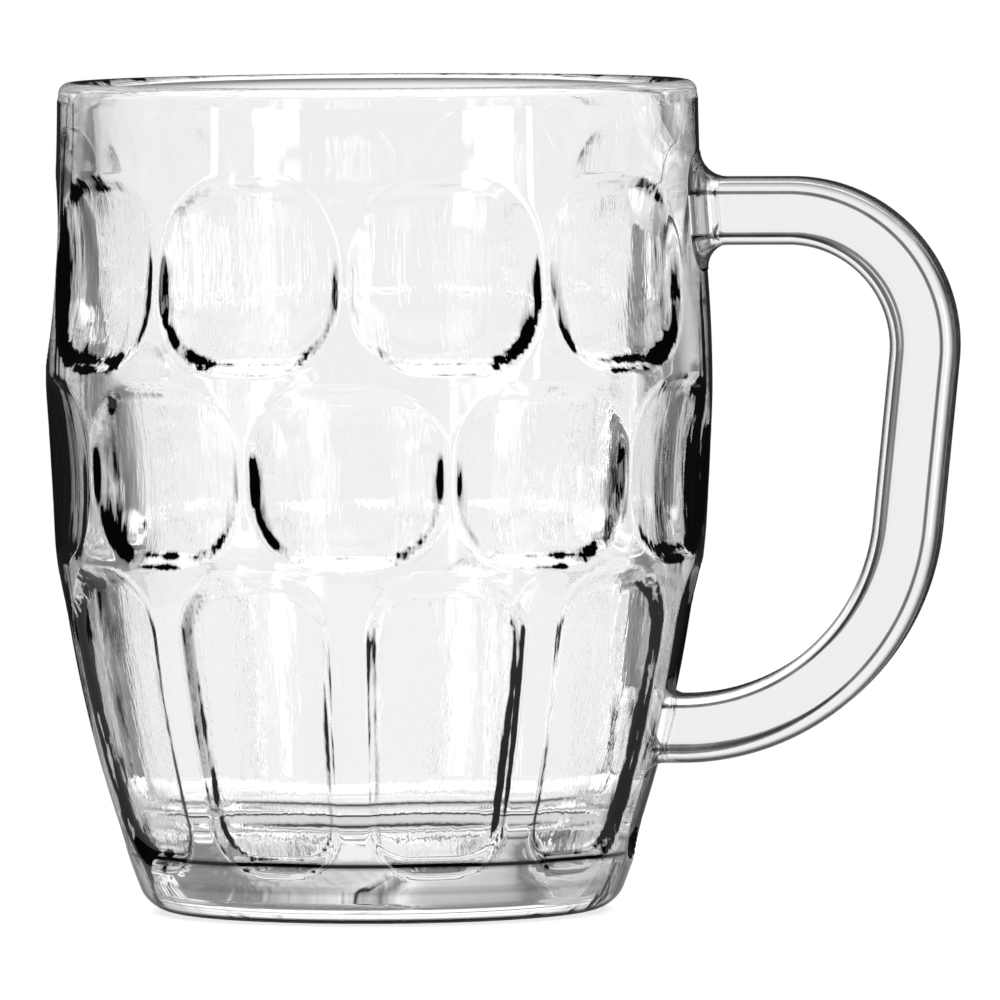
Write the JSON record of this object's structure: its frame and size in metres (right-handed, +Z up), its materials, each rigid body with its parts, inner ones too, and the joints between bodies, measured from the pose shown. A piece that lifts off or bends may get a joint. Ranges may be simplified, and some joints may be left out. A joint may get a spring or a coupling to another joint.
{
  "type": "beer mug",
  "caption": "Heavy pressed-glass beer mug with rows of dimples, tall panels down to a thick base and a fused side handle, for holding and drinking a pint",
  "frame": {"origin": "Centre of the base ring, in the plane that the mug stands on", "axes": "+Z up along the axis of the body, +X from the body towards the handle, +Y across the handle"},
  "size_m": [0.14, 0.102, 0.127],
  "materials": {
    "body_glass": "clear pressed soda-lime glass, fire polished",
    "handle_glass": "clear pressed soda-lime glass, fire polished, slightly satin"
  },
  "bodies": {
    "root": {"mug_body": "body_glass", "handle": "handle_glass"}
  },
  "joints": []
}
